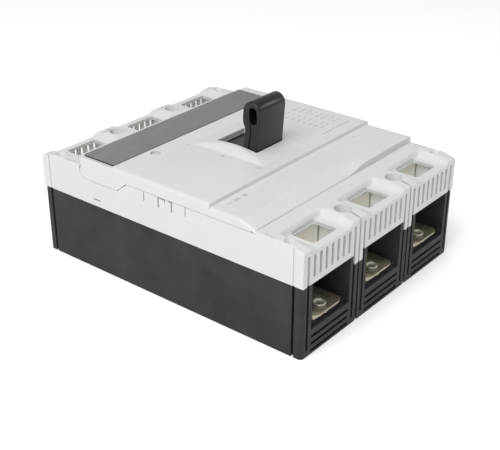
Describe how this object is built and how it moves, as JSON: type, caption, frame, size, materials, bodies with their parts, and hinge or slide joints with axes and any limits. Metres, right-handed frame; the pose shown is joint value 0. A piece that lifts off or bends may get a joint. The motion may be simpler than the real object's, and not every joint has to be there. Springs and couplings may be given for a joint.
{
  "type": "moulded case circuit breaker",
  "caption": "Moulded case circuit breaker: dark base, light grey covers, black toggle lever and open terminal chambers at both ends.",
  "frame": {"origin": "middle of the mounting face, on the surface that the breaker lies on", "axes": "+Z out of the front towards the operator, +Y towards the line end, +X across the poles"},
  "size_m": [0.21, 0.268, 0.143],
  "materials": {
    "base_moulding": "charcoal moulded thermoset, fine matte grain",
    "cover_moulding": "light grey moulded plastic, satin",
    "label_plate": "dark grey plate, matte",
    "lever_moulding": "black moulded plastic, satin",
    "shield_moulding": "black moulded plastic",
    "button_moulding": "light grey moulded plastic",
    "inner_moulding": "brown thermoset",
    "steel": "zinc plated sheet steel",
    "spring_steel": "oiled spring wire",
    "screw_steel": "zinc plated",
    "nut_steel": "plated steel collar",
    "tinned_copper": "tin plated copper, dull warm grey",
    "copper": "bare copper",
    "braid_copper": "bare copper strand",
    "bimetal": "bright rolled strip",
    "arc_fibre": "pressed fibre board and steel plates"
  },
  "bodies": {
    "casing": {"arc_chute_1": "arc_fibre", "arc_chute_2": "arc_fibre", "arc_chute_3": "arc_fibre", "base_case": "base_moulding", "bimetal_1": "bimetal", "bimetal_2": "bimetal", "bimetal_3": "bimetal", "cover_screw_1": "screw_steel", "cover_screw_2": "screw_steel", "cover_screw_3": "screw_steel", "cover_screw_4": "screw_steel", "cradle": "steel", "flexible_braid_1": "braid_copper", "flexible_braid_2": "braid_copper", "flexible_braid_3": "braid_copper", "front_cover": "cover_moulding", "label_strip": "label_plate", "line_nut_1": "nut_steel", "line_nut_2": "nut_steel", "line_nut_3": "nut_steel", "line_terminal_1": "tinned_copper", "line_terminal_2": "tinned_copper", "line_terminal_3": "tinned_copper", "load_nut_1": "nut_steel", "load_nut_2": "nut_steel", "load_nut_3": "nut_steel", "load_terminal_1": "tinned_copper", "load_terminal_2": "tinned_copper", "load_terminal_3": "tinned_copper", "magnet_yoke_1": "steel", "magnet_yoke_2": "steel", "magnet_yoke_3": "steel", "main_cover": "cover_moulding", "mechanism_plate_left": "steel", "mechanism_plate_right": "steel", "trip_button_spring": "spring_steel"},
    "lever_assembly": {"lever": "lever_moulding", "lever_shield": "shield_moulding", "lever_yoke": "steel", "main_spring_left": "spring_steel", "main_spring_right": "spring_steel"},
    "contact_shaft": {"crossbar": "inner_moulding", "moving_contact_1": "copper", "moving_contact_2": "copper", "moving_contact_3": "copper"},
    "upper_toggle": {"upper_link": "steel"},
    "lower_toggle": {"lower_link": "steel"},
    "trip_shaft": {"trip_bar": "inner_moulding"},
    "trip_push": {"trip_button": "button_moulding"},
    "armature_flap_1": {"armature_1": "steel"},
    "armature_flap_2": {"armature_2": "steel"},
    "armature_flap_3": {"armature_3": "steel"}
  },
  "joints": [
    {"name": "lever_turn", "type": "hinge", "parent": "casing", "child": "lever_assembly", "pos_m": [0, -0.002, 0.022], "axis": [-1, 0, 0], "range_deg": [0, 18.1], "deforming": ["main_spring_left", "main_spring_right"]},
    {"name": "contact_shaft_turn", "type": "hinge", "parent": "casing", "child": "contact_shaft", "pos_m": [0, 0.02, 0.034], "axis": [-1, 0, 0], "range_deg": [0, 24], "deforming": ["flexible_braid_1", "flexible_braid_2", "flexible_braid_3"]},
    {"name": "upper_toggle_turn", "type": "hinge", "parent": "casing", "child": "upper_toggle", "pos_m": [0, 0.012, 0.076], "axis": [1, 0, 0], "range_deg": [0, 29]},
    {"name": "lower_toggle_turn", "type": "hinge", "parent": "upper_toggle", "child": "lower_toggle", "pos_m": [0, 0.00929, 0.05821], "axis": [-1, 0, 0], "range_deg": [0, 47.6]},
    {"name": "trip_button_press", "type": "slide", "parent": "casing", "child": "trip_push", "axis": [0, 0, -1], "range_m": [0, 0.003], "stiffness_N_per_m": 300, "springref_m": -0.002, "deforming": ["trip_button_spring"]},
    {"name": "trip_shaft_turn", "type": "hinge", "parent": "casing", "child": "trip_shaft", "pos_m": [0, -0.044, 0.072], "axis": [-1, 0, 0], "range_deg": [0, 1.95]},
    {"name": "armature_turn_1", "type": "hinge", "parent": "casing", "child": "armature_flap_1", "pos_m": [-0.07, -0.0632, 0.028], "axis": [1, 0, 0], "range_deg": [0, 5], "stiffness_Nm_per_rad": 0.05, "springref_deg": -2.86},
    {"name": "armature_turn_2", "type": "hinge", "parent": "casing", "child": "armature_flap_2", "pos_m": [0, -0.0632, 0.028], "axis": [1, 0, 0], "range_deg": [0, 5], "stiffness_Nm_per_rad": 0.05, "springref_deg": -2.86},
    {"name": "armature_turn_3", "type": "hinge", "parent": "casing", "child": "armature_flap_3", "pos_m": [0.07, -0.0632, 0.028], "axis": [1, 0, 0], "range_deg": [0, 5], "stiffness_Nm_per_rad": 0.05, "springref_deg": -2.86}
  ],
  "couplings": [
    {"joint": "contact_shaft_turn", "follows": "lever_turn", "ratio": 1.326},
    {"joint": "upper_toggle_turn", "follows": "lever_turn", "ratio": 1.6004},
    {"joint": "lower_toggle_turn", "follows": "lever_turn", "ratio": 2.6278},
    {"joint": "trip_shaft_turn", "follows": "trip_button_press", "rad_per_m": 11.27}
  ]
}
